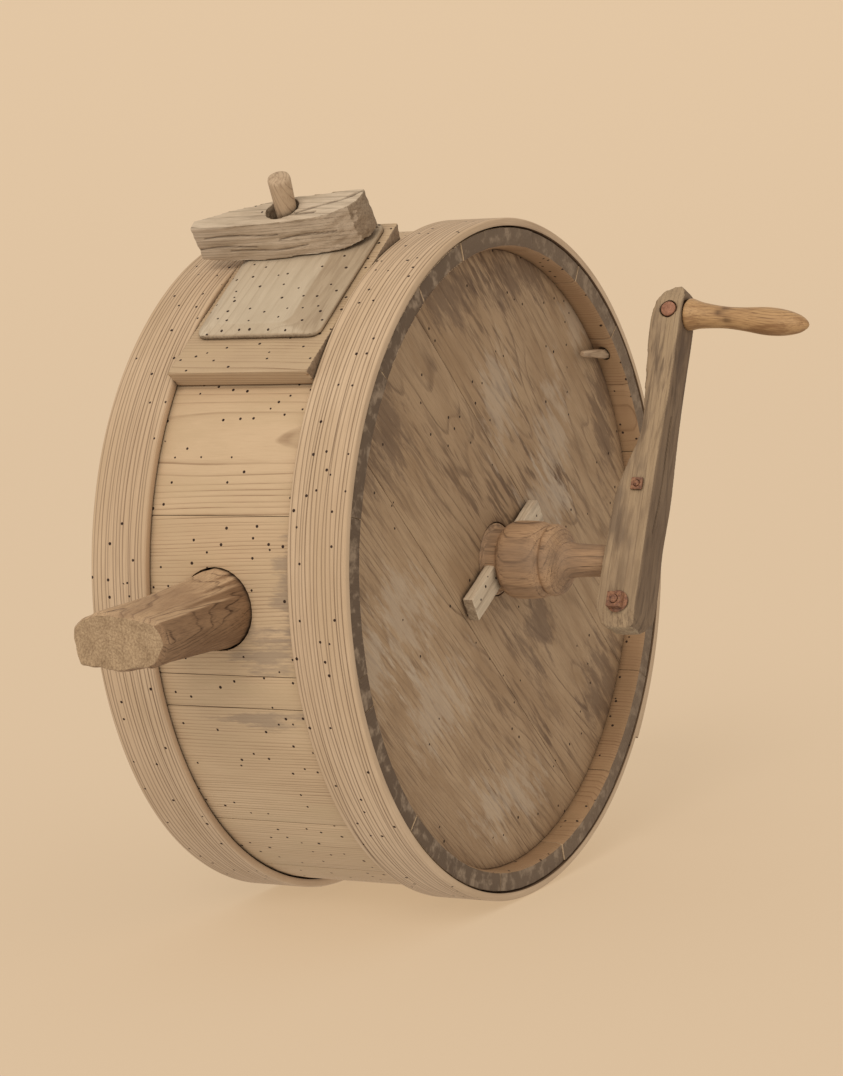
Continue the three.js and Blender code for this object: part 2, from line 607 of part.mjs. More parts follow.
function grip() {
  const profile = smooth([
    [0.4, 12.4], [3, 12.2], [12, 9.9], [30, 8.3], [45, 8.9], [62, 10.4], [76, 9.8], [88, 7], [94, 3.4],
  ], 13, false);
  const body = turned([[0.4, 0], ...profile, [GRIP_LENGTH, 0]], 16);
  const turn = new THREE.Matrix4().makeRotationFromQuaternion(
    new THREE.Quaternion().setFromUnitVectors(V(1, 0, 0), gripAxis),
  );
  turn.setPosition(gripFoot.x + 1.2, gripFoot.y, gripFoot.z);
  const placed = solid(geometryOf(body).applyMatrix4(turn));
  const pinHole = crosswise(ARM.x1 - 12, -30, 30, GRIP_Z, PIN_R + GAP);
  add("grip", placed.add(gripTenon(0)).subtract(pinHole), gripWood);
}

staves();
hoops();
heads();
collar();
driveNails();
headPeg();
lid();
turnBlock();
add("vent_peg", pegRod(0), lidWood);
bung();
shaft();
paddles();
rearBearing();
crank();
grip();

const group = new THREE.Group();
group.add(churn);

export default group;
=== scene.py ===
"""Looks for the drum butter churn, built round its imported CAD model. Metres, +Z up, +X towards the crank."""
import json
import math

import bmesh
import bpy
import numpy as np
from mathutils import Matrix, Vector

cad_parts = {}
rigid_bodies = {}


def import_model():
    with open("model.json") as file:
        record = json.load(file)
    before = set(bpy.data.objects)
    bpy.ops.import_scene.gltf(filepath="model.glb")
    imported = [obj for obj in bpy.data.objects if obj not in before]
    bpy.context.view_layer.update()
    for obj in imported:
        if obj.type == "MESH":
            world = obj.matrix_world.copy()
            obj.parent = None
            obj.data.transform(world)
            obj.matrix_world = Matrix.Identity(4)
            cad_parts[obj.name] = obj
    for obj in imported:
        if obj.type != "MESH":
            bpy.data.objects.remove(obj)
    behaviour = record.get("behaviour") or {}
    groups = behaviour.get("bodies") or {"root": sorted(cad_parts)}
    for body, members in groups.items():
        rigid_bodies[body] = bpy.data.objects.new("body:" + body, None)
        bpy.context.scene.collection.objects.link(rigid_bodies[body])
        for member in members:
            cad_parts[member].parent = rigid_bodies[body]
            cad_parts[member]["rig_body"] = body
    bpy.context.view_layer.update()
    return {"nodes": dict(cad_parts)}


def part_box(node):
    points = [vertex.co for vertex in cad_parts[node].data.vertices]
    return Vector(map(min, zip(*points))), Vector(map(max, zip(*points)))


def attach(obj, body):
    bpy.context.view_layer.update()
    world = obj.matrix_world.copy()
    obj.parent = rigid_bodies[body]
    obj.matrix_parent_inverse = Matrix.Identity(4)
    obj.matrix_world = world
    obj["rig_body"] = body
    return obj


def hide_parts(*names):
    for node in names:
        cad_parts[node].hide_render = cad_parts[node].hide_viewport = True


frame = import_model()

# ---- Dimensions that the looks share with the CAD, read from its boxes where they can be ----
hoop_low, hoop_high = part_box("front_hoop")
AXLE = (hoop_low.z + hoop_high.z) / 2
HOOP_R = (hoop_high.z - hoop_low.z) / 2
HOOP_BORE = HOOP_R - 0.007
RIM_X = hoop_high.x
CENTRE = Vector((0, 0, AXLE))
MOUTH_TILT = math.radians(34.5)
ARM_LEAN = math.radians(-25.5)
LAP_FROM, LAP_TO, LAP_RISE = math.radians(228), math.radians(262), 0.004
GRIP_DROOP = math.radians(6)
# Where each stave begins, in degrees round from the top towards the bung.
STAVE_JOINTS = (14.7, 31, 50, 75.3, 101.5, 107.3, 132.5, 150, 167.2,
                192, 216, 239.3, 262, 284, 299, 310.5, 329, 348)
MOUTH_STAVES, BUNG_STAVE = (0, 1), 3
STAINED_STAVES, FLAT_SAWN_STAVES = (3, 5), (2, 9, 13)
PADDLES, PADDLE_TURN, KEY_TURN = 4, 20, math.radians(28)
# Places on the crank arm: out along the axle, and along the arm from the axle.
GRIP_PIN_AT, NUT_AT, RIVET_AT = (0.203, 0.193), (0.200, -0.036), (0.2015, 0.054)
GRIP_FOOT_X = 0.2145


def unit(*v):
    return np.array(v, float) / np.linalg.norm(v)


def turned_x(angle, v):
    """A vector turned about the X axis."""
    c, s = math.cos(angle), math.sin(angle)
    return np.array((v[0], c * v[1] - s * v[2], s * v[1] + c * v[2]))


X, Y, Z = np.eye(3)
MOUTH_ACROSS, MOUTH_UP = turned_x(MOUTH_TILT, Y), turned_x(MOUTH_TILT, Z)
ARM_ACROSS, ARM_ALONG = turned_x(ARM_LEAN, Y), turned_x(ARM_LEAN, Z)


# ---- Grain frames: a point's place along the grain, across it and in depth, with the directions ----
def straight(along, across, origin=CENTRE, pith=(0.0, 0.0), shift=0.0):
    along, across = unit(*along), unit(*across)
    axes = np.stack([along, across, np.cross(along, across)])

    def place(points):
        found = (points - np.array(origin)) @ axes.T
        return found + np.array((shift, *pith)), np.broadcast_to(axes, (len(points), 3, 3))

    return place


def round_drum(start, pith, along_axis, shift=0.0):
    """Grain along the drum's axis, as on a stave, or round the drum, as on a hoop."""

    def place(points):
        y, z = points[:, 1], points[:, 2] - AXLE
        r = np.hypot(y, z)
        angle = np.arctan2(-y, z) - start
        angle = (angle + np.pi) % (2 * np.pi) - np.pi if along_axis else angle % (2 * np.pi)
        none = np.zeros_like(r)
        outward = np.stack([none, y / r, z / r], 1)
        axial = np.broadcast_to(X, outward.shape)
        round_ = np.cross(axial, outward)
        depth = r - HOOP_BORE + pith[1]
        arc = angle * HOOP_BORE
        x = points[:, 0]
        if along_axis:
            return np.stack([x + shift, arc + pith[0], depth], 1), np.stack([axial, round_, outward], 1)
        return np.stack([arc + shift, x + pith[0], depth], 1), np.stack([round_, axial, outward], 1)

    return place


# ---- Mesh tools ----
def cad_bmesh(node):
    """The CAD node's mesh with shared corners and whole flat faces."""
    bm = bmesh.new()
    bm.from_mesh(frame["nodes"][node].data)
    bmesh.ops.remove_doubles(bm, verts=bm.verts, dist=2e-6)
    bmesh.ops.dissolve_limit(bm, angle_limit=math.radians(0.4), verts=bm.verts, edges=bm.edges)
    return bm


def worn_edges(bm, width, segments=2, limit=28):
    """Rounds the sharp edges."""
    sharp = [e for e in bm.edges if len(e.link_faces) == 2 and e.calc_face_angle(0) > math.radians(limit)]
    bmesh.ops.bevel(bm, geom=sharp, offset=width, segments=segments, profile=0.6, affect="EDGES",
                    clamp_overlap=True)
    return bm


def mesh_of(bm, name, sharp=26):
    mesh = bpy.data.meshes.new(name)
    bm.to_mesh(mesh)
    bm.free()
    for attribute in list(mesh.attributes):
        if attribute.name == "custom_normal" or attribute.name.startswith("UV"):
            mesh.attributes.remove(attribute)
    mesh.shade_smooth()
    mesh.set_sharp_from_angle(angle=math.radians(sharp))
    return mesh


def remeshed(bm, name, voxel, relax=3):
    """An even skin of small faces over the same shape, its edges a little worn."""
    rough = mesh_of(bm, name + "_rough")
    holder = bpy.data.objects.new(name + "_rough", rough)
    bpy.context.scene.collection.objects.link(holder)
    skin = holder.modifiers.new("skin", "REMESH")
    skin.mode = "VOXEL"
    skin.voxel_size = voxel
    ease = holder.modifiers.new("ease", "SMOOTH")
    ease.factor = 0.5
    ease.iterations = relax
    graph = bpy.context.evaluated_depsgraph_get()
    made = bpy.data.meshes.new_from_object(holder.evaluated_get(graph))
    made.name = name
    bpy.data.objects.remove(holder)
    bpy.data.meshes.remove(rough)
    made.shade_smooth()
    return made


def join_rings(bm, rings):
    """Skins one ring of corners to the next. A ring may be a single point."""
    for low, high in zip(rings, rings[1:]):
        for i in range(max(len(low), len(high))):
            j = i + 1
            corners = [low[i % len(low)], low[j % len(low)], high[j % len(high)], high[i % len(high)]]
            bm.faces.new(list(dict.fromkeys(corners)))


def lathe(name, profile, origin, axis, sides=64, wobble=0.0, seed=0):
    """A closed turned shape. profile is (distance along, radius) pairs, its two ends on the axis."""
    axis = unit(*axis)
    side = unit(*np.cross(axis, Z if abs(axis[2]) < 0.9 else X))
    third = np.cross(axis, side)
    phases = np.random.default_rng(seed).uniform(0, 2 * np.pi, (3, 2))
    bm = bmesh.new()
    rings = []
    for along, radius in profile:
        foot = np.array(origin) + axis * along
        if radius <= 0:
            rings.append([bm.verts.new(foot)])
            continue
        ring = []
        for i in range(sides):
            a = 2 * np.pi * i / sides
            waves = [math.sin((k + 2) * a + start + along * 60 + lag)
                     for k, (start, lag) in enumerate(phases)]
            uneven = sum(waves) / len(waves)
            r = radius * (1 - wobble * (0.5 + 0.5 * uneven))
            ring.append(bm.verts.new(foot + side * (r * math.cos(a)) + third * (r * math.sin(a))))
        rings.append(ring)
    join_rings(bm, rings)
    bmesh.ops.recalc_face_normals(bm, faces=bm.faces)
    return mesh_of(bm, name, sharp=40)


def soften(profile, cut=0.0008):
    """Cuts a profile's corners, twice, so that they turn smoothly."""
    for _ in range(2):
        points = [np.array(p, float) for p in profile]
        eased = [points[0]]
        for before, here, after in zip(points, points[1:], points[2:]):
            for other in (before, after):
                way = other - here
                length = np.linalg.norm(way)
                eased.append(here + way / length * min(cut, length * 0.35))
        profile = [tuple(p) for p in eased + [points[-1]]]
        cut *= 0.4
    return profile


def spline(points, count):
    """A smooth line through a few (along, radius) points."""
    points = np.array(points, float)
    ends = np.vstack([2 * points[0] - points[1], points, 2 * points[-1] - points[-2]])
    spread = np.linspace(0, len(points) - 1 - 1e-9, count)
    k = spread.astype(int)
    t = (spread - k)[:, None]
    a, b, c, d = (ends[k + i] for i in range(4))
    line = 0.5 * (2 * b + (c - a) * t + (2 * a - 5 * b + 4 * c - d) * t**2 + (3 * b - a - 3 * c + d) * t**3)
    return [tuple(p) for p in line]


def coords(mesh):
    found = np.zeros(len(mesh.vertices) * 3)
    mesh.vertices.foreach_get("co", found)
    return found.reshape(-1, 3)


def normals(mesh):
    found = np.zeros(len(mesh.vertices) * 3, np.float32)
    mesh.vertex_normals.foreach_get("vector", found)
    return found.reshape(-1, 3).astype(float)


def ripple(points, wavelengths, seed, waves=14):
    """A smooth uneven field from -1 to 1 whose bumps are about that long in each direction."""
    rng = np.random.default_rng(seed)
    total = np.zeros(len(points))
    for _ in range(waves):
        way = rng.normal(size=3)
        way /= np.linalg.norm(way)
        total += np.sin(points @ (way * 2 * np.pi / np.array(wavelengths)) + rng.uniform(0, 2 * np.pi))
    return np.clip(total / math.sqrt(waves), -1.6, 1.6) / 1.6


def weather(mesh, place, amounts, seed):
    """Sinks the surface unevenly: each amount is (depth, wavelengths along, across and in depth)."""
    points = coords(mesh)
    local, _ = place(points)
    inwards = np.zeros(len(points))
    for i, (depth, wavelengths) in enumerate(amounts):
        inwards += depth * (0.5 + 0.5 * ripple(local, wavelengths, seed + 31 * i))
    points -= normals(mesh) * inwards[:, None]
    mesh.vertices.foreach_set("co", points.ravel())
    mesh.update()


def shade_side(mesh, way, low=0.1, high=0.75):
    """Marks the side of a piece that faces a direction for painted shade: that side is darkened in its colour.
    """
    facing = np.clip((normals(mesh) @ unit(*way) - low) / (high - low), 0, 1)
    set_values(mesh, "painted_shade", facing * facing * (3 - 2 * facing))


def set_values(mesh, name, values, domain="POINT"):
    attribute = mesh.attributes.get(name) or mesh.attributes.new(name, "FLOAT", domain)
    attribute.data.foreach_set("value", np.asarray(values, np.float32))


def values_of(mesh, name):
    attribute = mesh.attributes.get(name)
    found = np.zeros(len(mesh.vertices), np.float32)
    if attribute:
        attribute.data.foreach_get("value", found)
    return found


def carve(mesh, flat, path, width, depth, where):
    """Cuts a crack along a path drawn on the flattened points, and marks it dark."""
    nearest = np.full(len(flat), 1e9)
    for a, b in zip(np.array(path[:-1], float), np.array(path[1:], float)):
        way = b - a
        t = np.clip(((flat - a) @ way) / (way @ way), 0, 1)
        nearest = np.minimum(nearest, np.linalg.norm(flat - a - t[:, None] * way, axis=1))
    cut = np.clip(1 - nearest / width, 0, 1) * where
    points = coords(mesh) - normals(mesh) * (cut * depth)[:, None]
    mesh.vertices.foreach_set("co", points.ravel())
    mesh.update()
    set_values(mesh, "line", np.maximum(values_of(mesh, "line"), cut))


def mark_grain(mesh, place, shown=True):
    """Stores the grain frame on the points, and which faces are a board's broad side, end grain or inside."""
    local, _ = place(coords(mesh))
    grain = mesh.attributes.new("grain", "FLOAT_VECTOR", "POINT")
    grain.data.foreach_set("vector", local.astype(np.float32).ravel())
    middles = np.zeros(len(mesh.polygons) * 3)
    mesh.polygons.foreach_get("center", middles)
    facing = np.zeros(len(mesh.polygons) * 3, np.float32)
    mesh.polygon_normals.foreach_get("vector", facing)
    middles, facing = middles.reshape(-1, 3), facing.reshape(-1, 3)
    _, axes = place(middles)
    share = np.einsum("ij,ikj->ik", facing, axes)
    set_values(mesh, "broad", (np.abs(share[:, 2]) > 0.7) * float(shown), "FACE")
    set_values(mesh, "end", np.abs(share[:, 0]) > 0.75, "FACE")
    set_values(mesh, "inner", share[:, 2] < -0.35, "FACE")
    for name in ("line", "painted_shade"):
        if name not in mesh.attributes:
            set_values(mesh, name, np.zeros(len(mesh.vertices)))


def piece(name, mesh, material, *nodes):
    """A finished piece: it rides with the body of the CAD nodes it stands for, and those nodes are hidden."""
    obj = bpy.data.objects.new(name, mesh)
    bpy.context.scene.collection.objects.link(obj)
    mesh.materials.clear()
    mesh.materials.append(material)
    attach(obj, frame["nodes"][nodes[0]]["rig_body"])
    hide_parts(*nodes)
    return obj


# ---- Material tools ----
def srgb(red, green, blue):
    """A colour given as 0 to 255 screen values, in linear light."""
    def light(value):
        value /= 255
        return value / 12.92 if value <= 0.04045 else ((value + 0.055) / 1.055) ** 2.4

    return (light(red), light(green), light(blue), 1.0)


class Graph:
    """A small builder for a material's nodes."""

    def __init__(self, name):
        self.material = bpy.data.materials.new(name)
        self.material.use_nodes = True
        self.tree = self.material.node_tree
        self.tree.nodes.clear()

    def add(self, kind, inputs, **settings):
        node = self.tree.nodes.new("ShaderNode" + kind)
        for key, value in settings.items():
            setattr(node, key, value)
        for key, value in inputs.items():
            if isinstance(value, bpy.types.NodeSocket):
                self.tree.links.new(value, node.inputs[key])
            else:
                node.inputs[key].default_value = value
        return node

    def math(self, operation, a, b=0.0, clamp=False):
        return self.add("Math", {0: a, 1: b}, operation=operation, use_clamp=clamp).outputs[0]

    def scaled(self, vector, scale):
        return self.add("VectorMath", {0: vector, 1: scale}, operation="MULTIPLY").outputs[0]

    def moved(self, vector, shift):
        return self.add("VectorMath", {0: vector, 1: shift}, operation="ADD").outputs[0]

    def length(self, vector):
        return self.add("VectorMath", {0: vector}, operation="LENGTH").outputs["Value"]

    def noise(self, vector, detail=2.0, roughness=0.5):
        inputs = {"Vector": vector, "Scale": 1.0, "Detail": detail, "Roughness": roughness}
        return self.add("TexNoise", inputs).outputs[0]

    def ramp(self, factor, stops, smooth=False):
        node = self.add("ValToRGB", {0: factor})
        node.color_ramp.interpolation = "EASE" if smooth else "LINEAR"
        while len(node.color_ramp.elements) < len(stops):
            node.color_ramp.elements.new(0.5)
        for element, (position, value) in zip(node.color_ramp.elements, stops):
            element.position = position
            element.color = value if isinstance(value, tuple) else (value, value, value, 1)
        return node.outputs[0]

    def mix(self, factor, a, b, blend="MIX"):
        return self.add("Mix", {0: factor, 6: a, 7: b}, data_type="RGBA", blend_type=blend).outputs[2]

    def dimmed(self, colour, share):
        return self.mix(1.0, colour, share, "MULTIPLY")

    def value(self, name):
        return self.add("Attribute", {}, attribute_name=name).outputs["Fac"]

    def place(self):
        """Where a point is in the part's own frame."""
        return self.add("TexCoord", {}).outputs["Object"]

    def finish(self, colour, roughness, height, strength, depth, **extra):
        bump = self.add("Bump", {"Strength": strength, "Distance": depth, "Height": height}).outputs[0]
        inputs = {"Base Color": colour, "Roughness": roughness, "Normal": bump, **extra}
        self.add("OutputMaterial", {0: self.add("BsdfPrincipled", inputs).outputs[0]})
        return self.material


def worm_holes(g, grain, share):
    """Round beetle holes on the broad faces, in loose clusters."""
    cell = 0.0125
    flat = g.scaled(grain, (1 / cell, 1 / cell, 0))
    cells = g.add("TexVoronoi", {"Vector": flat, "Scale": 1.0, "Randomness": 1.0}, voronoi_dimensions="2D")
    size = g.math("MULTIPLY_ADD", g.add("SeparateColor", {0: cells.outputs["Color"]}).outputs[1], 0.035)
    size.node.inputs[2].default_value = 0.06
    dot = g.math("LESS_THAN", cells.outputs["Distance"], size)
    crowd = g.noise(g.scaled(grain, (14, 14, 0)), 1)
    picked = g.math("ADD", g.add("SeparateColor", {0: cells.outputs["Color"]}).outputs[0],
                    g.math("MULTIPLY", crowd, -1.1))
    chosen = g.math("LESS_THAN", picked, share - 0.55)
    return g.math("MULTIPLY", g.math("MULTIPLY", dot, chosen), g.value("broad"))


def soiled_side(g):
    """How soiled the rim is: most on the side that the mouth is cut in."""
    sideways = g.math("MULTIPLY", g.add("SeparateXYZ", {0: g.place()}).outputs[1], -1 / HOOP_R)
    return g.ramp(g.math("MULTIPLY_ADD", sideways, 0.5), [(0.0, 0.6), (0.5, 0.8), (0.75, 1.0)])


def growth_rings(g, grain, spacing, warp, taper):
    """The dark late wood of each ring, as the piece's own surface cuts it."""
    along = g.add("SeparateXYZ", {0: grain}).outputs[0]
    sway = g.math("MULTIPLY", g.math("SUBTRACT", g.noise(g.scaled(grain, (2.5, 12, 12)), 2), 0.5), warp * 4)
    distance = g.math("ADD", g.length(g.scaled(grain, (0, 1, 1))), sway)
    distance = g.math("ADD", distance, g.math("MULTIPLY", along, taper))
    ring = g.math("DIVIDE", distance, spacing)
    uneven = g.noise(g.add("CombineXYZ", {0: g.math("MULTIPLY", ring, 0.43)}).outputs[0], 1)
    ring = g.math("ADD", ring, g.math("MULTIPLY", uneven, 1.6))
    season = [(0, 0.0), (0.55, 0.05), (0.8, 0.3), (0.9, 1.0), (0.96, 0.8), (1, 0.0)]
    strength = g.ramp(g.noise(g.scaled(grain, (7, 70, 70)), 3), [(0.3, 0.25), (0.62, 1.0)])
    return g.math("MULTIPLY", g.ramp(g.math("FRACT", ring), season), strength)


def greyed(g, grain, colour, grey):
    areas = g.noise(g.scaled(grain, (11, 34, 34)), 4, 0.65)
    return g.mix(g.ramp(areas, [(0.45, 0.0), (0.66, 0.75)]), colour, grey)


def patched(g, grain, colour, patch):
    """Broad patches of another tone."""
    areas = g.noise(g.moved(g.scaled(grain, (7, 20, 20)), (3.7, 1.1, 0)), 4, 0.62)
    return g.mix(g.ramp(areas, [(0.544, 0.0), (0.614, 0.8)]), colour, patch)


def streaked(g, grain, colour, streak):
    """Short dark flecks along the grain, in crowds."""
    flecks = g.ramp(g.noise(g.scaled(grain, (24, 210, 210)), 3, 0.6), [(0.5, 0.0), (0.62, 1.0)])
    crowd = g.noise(g.moved(g.scaled(grain, (5, 9, 9)), (8.1, 2.2, 0)), 2)
    flecks = g.math("MULTIPLY", flecks, g.ramp(crowd, [(0.42, 0.12), (0.66, 0.8)]))
    return g.mix(flecks, colour, streak)


def end_grain(g, grain, colour, end, soil):
    """Sawn or split ends, speckled and blotted, with a soiled tone where there is one."""
    knife = g.noise(g.scaled(grain, (60, 620, 620)), 4, 0.7)
    cut = g.mix(g.ramp(knife, [(0.38, 0.0), (0.7, 0.8)]), end, g.dimmed(end, (0.34, 0.29, 0.25, 1)))
    blot = g.noise(g.scaled(grain, (60, 90, 90)), 3, 0.6)
    cut = g.mix(g.ramp(blot, [(0.4, 0.0), (0.7, 0.55)]), cut, g.dimmed(cut, (0.5, 0.45, 0.4, 1)))
    if soil:
        cut = g.mix(soiled_side(g), cut, g.mix(g.ramp(blot, [(0.5, 0.0), (0.66, 0.7)]), soil, end))
    return g.mix(g.math("MULTIPLY", g.value("end"), 0.9), colour, cut)


def stained(g, grain, colour, stains):
    """Ragged stained patches, and on the heads painted shadow as well. Each is a colour, a strength and its
    places, each with its reach.
    """
    for stain, strength, places in stains:
        for place, reach in places:
            from_place = g.moved(g.place(), tuple(-c for c in place))
            away = g.length(g.scaled(from_place, tuple(1 / r for r in reach)))
            rough = g.noise(g.scaled(grain, (26, 130, 130)), 5, 0.68)
            ragged = g.math("ADD", g.math("MULTIPLY", away, 0.3), rough)
            colour = g.mix(g.ramp(ragged, [(0.58, strength), (0.72, 0.0)]), colour, stain)
    return colour


def wood(name, pale, dark, spacing=0.0037, lines=0.55, fibre=0.16, warp=0.004, taper=0.02, holes=0.0,
         grey=None, patch=None, streak=None, painted_shade=None, end=None, soil=None, inner=None, stains=(),
         roughness=0.72, bump=0.35):
    """Aged bare wood, from the grain frame and the marks that are stored on the mesh."""
    g = Graph(name)
    grain = g.add("Attribute", {}, attribute_name="grain").outputs["Vector"]
    late = growth_rings(g, grain, spacing, warp, taper)
    fibres = g.math("SUBTRACT", g.noise(g.scaled(grain, (45, 1500, 1500)), 3, 0.6), 0.5)
    tone = g.math("ADD", g.math("MULTIPLY", late, lines), g.math("MULTIPLY", fibres, fibre * 3), True)
    colour = g.mix(tone, pale, dark)
    cloud = g.noise(g.scaled(grain, (5, 14, 14)), 3, 0.6)
    colour = g.mix(g.ramp(cloud, [(0.35, 0.0), (0.75, 0.5)]), colour, g.dimmed(colour, (0.72, 0.66, 0.6, 1)))
    if grey:
        colour = greyed(g, grain, colour, grey)
    if patch:
        colour = patched(g, grain, colour, patch)
    if streak:
        colour = streaked(g, grain, colour, streak)
    # Painted shade: the side that shade_side marks is multiplied by this colour.
    if painted_shade:
        colour = g.mix(g.value("painted_shade"), colour, g.dimmed(colour, painted_shade))
    if end:
        colour = end_grain(g, grain, colour, end, soil)
    if inner:
        colour = g.mix(g.value("inner"), colour, g.dimmed(colour, inner))
    colour = stained(g, grain, colour, stains)
    # The line marks are cracks, knots and grain grooves, and at the hoops' edges painted shade in the gap.
    crack = g.math("MULTIPLY", g.value("line"), 0.78)
    colour = g.mix(crack, colour, g.dimmed(dark, (0.45, 0.4, 0.36, 1)))
    height = g.math("ADD", g.math("MULTIPLY", late, -0.6), g.math("MULTIPLY", fibres, 0.8))
    if holes:
        hole = worm_holes(g, grain, holes)
        colour = g.mix(hole, colour, srgb(52, 34, 22))
        height = g.math("SUBTRACT", height, g.math("MULTIPLY", hole, 3.0))
    # Painted shade: the colour is darkened where ambient occlusion finds other surfaces close by, in crevices,
    # joints and under parts.
    painted_crevice_shade = g.add("AmbientOcclusion", {"Distance": 0.008}, samples=6).outputs["AO"]
    colour = g.mix(g.ramp(painted_crevice_shade, [(0.25, 0.7), (0.75, 0.0)]), colour, g.dimmed(colour, (0.3, 0.25, 0.2, 1)))
    rough = g.math("ADD", g.math("MULTIPLY", tone, -0.12), roughness + 0.06)
    return g.finish(colour, rough, height, bump, 0.0006, **{"Specular IOR Level": 0.25})


def rusty_iron(name):
    g = Graph(name)
    scale = g.noise(g.scaled(g.place(), (420, 420, 420)), 5, 0.7)
    broad = g.noise(g.scaled(g.place(), (120, 120, 120)), 3, 0.6)
    colour = g.ramp(scale, [(0.32, srgb(88, 56, 40)), (0.5, srgb(144, 98, 70)),
                            (0.62, srgb(164, 118, 84)), (0.8, srgb(120, 84, 64))])
    colour = g.mix(g.ramp(broad, [(0.45, 0.0), (0.7, 0.6)]), colour, srgb(88, 66, 56))
    rough = g.math("ADD", g.math("MULTIPLY", scale, 0.3), 0.6)
    return g.finish(colour, rough, scale, 0.6, 0.0005, Metallic=0.25)


# ---- Materials ----
def on_drum(x, degrees):
    """A point on the staves, that far along the axle and round from the top."""
    turn = math.radians(degrees)
    return tuple(CENTRE + Vector((x, -HOOP_BORE * math.sin(turn), HOOP_BORE * math.cos(turn))))


def on_heads(spots):
    """Places on the heads from (across, up, reach across, reach up)."""
    return [((0.0, y, AXLE + z), (1.0, wide, tall)) for y, z, wide, tall in spots]


def pine(name, **changes):
    """Stave pine, with what one piece has otherwise."""
    usual = dict(pale=srgb(200, 168, 130), dark=srgb(132, 98, 66), grey=srgb(186, 156, 118),
                 end=srgb(152, 128, 102), soil=srgb(80, 62, 47), inner=(0.66, 0.57, 0.49, 1),
                 spacing=0.0028, lines=0.8, holes=0.36)
    return wood(name, **{**usual, **changes})


SMUDGES = [(on_drum(x, degrees), (wide, 0.1, tall)) for x, degrees, wide, tall in (
    (0.040, 98, 0.040, 0.030), (0.056, 88, 0.020, 0.060), (0.02, 109, 0.05, 0.010))]
BLEACHED = on_heads(((0.02, 0.12, 0.04, 0.06), (0.105, 0.08, 0.04, 0.07), (0.085, 0.035, 0.06, 0.04),
                     (0.15, 0.17, 0.03, 0.04), (-0.14, -0.02, 0.06, 0.05), (-0.10, -0.09, 0.06, 0.05),
                     (0.0, -0.18, 0.08, 0.04), (-0.19, -0.05, 0.03, 0.06)))
# The first three places paint the rim's shadow over the top and upper left of the heads; the other three are
# dark blotches.
DARK_BLOTCHES_AND_RIM_SHADOW = on_heads(((-0.06, 0.20, 0.07, 0.035), (0.06, 0.205, 0.08, 0.03), (-0.16, 0.11, 0.05, 0.05),
                     (0.19, 0.09, 0.03, 0.09), (0.17, -0.13, 0.06, 0.06), (0.06, -0.06, 0.04, 0.05)))

PINE_PLAIN = pine("aged pine")
PINE_STAINED = pine("stained pine", stains=[(srgb(140, 118, 96), 0.6, SMUDGES)])
COLLAR_WOOD = pine("collar pine", pale=srgb(188, 158, 122), holes=0.6, spacing=0.0024, soil=None)
# The hoop's inner tone darkens its bore faces, seen only in the gap at each edge: painted shade there.
HOOP_WOOD = wood(
    "split hoop wood", srgb(202, 170, 134), srgb(118, 84, 56), lines=0.3, fibre=0.2, warp=0.002, taper=0.0,
    holes=0.3, grey=srgb(184, 152, 116), end=srgb(138, 108, 78), inner=(0.4, 0.36, 0.32, 1))
HEAD_WOOD = wood(
    "weathered head board", srgb(176, 144, 108), srgb(92, 68, 48), spacing=0.0021, lines=0.6, fibre=0.5,
    warp=0.006, holes=0.07, grey=srgb(150, 118, 84), streak=srgb(96, 72, 52), inner=(0.6, 0.55, 0.5, 1),
    stains=[(srgb(190, 166, 138), 0.45, BLEACHED), (srgb(92, 70, 54), 0.55, DARK_BLOTCHES_AND_RIM_SHADOW)], bump=0.45)
# Where a wood below gives a colour to multiply its marked side by, that is painted shade on the side that
# shade_side marks.
LID_WOOD = wood(
    "lid wood", srgb(196, 174, 144), srgb(140, 116, 88), lines=0.35, fibre=0.2, holes=0.62,
    grey=srgb(182, 160, 130), streak=srgb(150, 126, 98), painted_shade=(0.78, 0.73, 0.68, 1), end=srgb(166, 144, 116))
BLOCK_WOOD = wood(
    "weathered block", srgb(204, 180, 150), srgb(96, 74, 52), spacing=0.003, lines=0.6, fibre=0.45,
    holes=0.3, grey=srgb(168, 144, 114), streak=srgb(120, 96, 70), painted_shade=(0.82, 0.80, 0.79, 1),
    end=srgb(158, 134, 106))
PEG_WOOD = wood(
    "whittled peg", srgb(190, 160, 126), srgb(116, 84, 58), spacing=0.0024, lines=0.6, fibre=0.4,
    streak=srgb(120, 90, 64))
BRANCH_WOOD = wood(
    "hewn branch", srgb(198, 162, 122), srgb(80, 54, 36), spacing=0.0026, lines=0.8, fibre=0.75,
    grey=srgb(150, 116, 84), streak=srgb(98, 68, 44), painted_shade=(0.52, 0.46, 0.42, 1), end=srgb(182, 150, 112),
    bump=0.6)
SHAFT_WOOD = wood(
    "turned shaft", srgb(180, 142, 104), srgb(76, 54, 38), spacing=0.003, lines=0.75, fibre=0.9,
    grey=srgb(138, 110, 84), streak=srgb(84, 62, 46))
KEY_WOOD = wood(
    "key wood", srgb(206, 182, 150), srgb(120, 96, 72), lines=0.45, fibre=0.3, holes=0.6,
    streak=srgb(110, 84, 66), end=srgb(166, 142, 112))
ARM_WOOD = wood(
    "crank arm wood", srgb(170, 142, 108), srgb(88, 68, 50), spacing=0.0036, lines=0.45, fibre=0.5,
    grey=srgb(140, 114, 86), patch=srgb(120, 98, 76), streak=srgb(96, 76, 58), painted_shade=(0.56, 0.53, 0.53, 1),
    end=srgb(176, 150, 116))
GRIP_WOOD = wood(
    "oak grip", srgb(188, 146, 98), srgb(92, 60, 36), spacing=0.0016, lines=0.8, fibre=0.7,
    grey=srgb(162, 120, 76), streak=srgb(120, 80, 46), roughness=0.5)
PIN_WOOD = wood(
    "reddish pin", srgb(176, 122, 92), srgb(100, 58, 42), spacing=0.0016, lines=0.5, fibre=0.3,
    end=srgb(170, 118, 90))
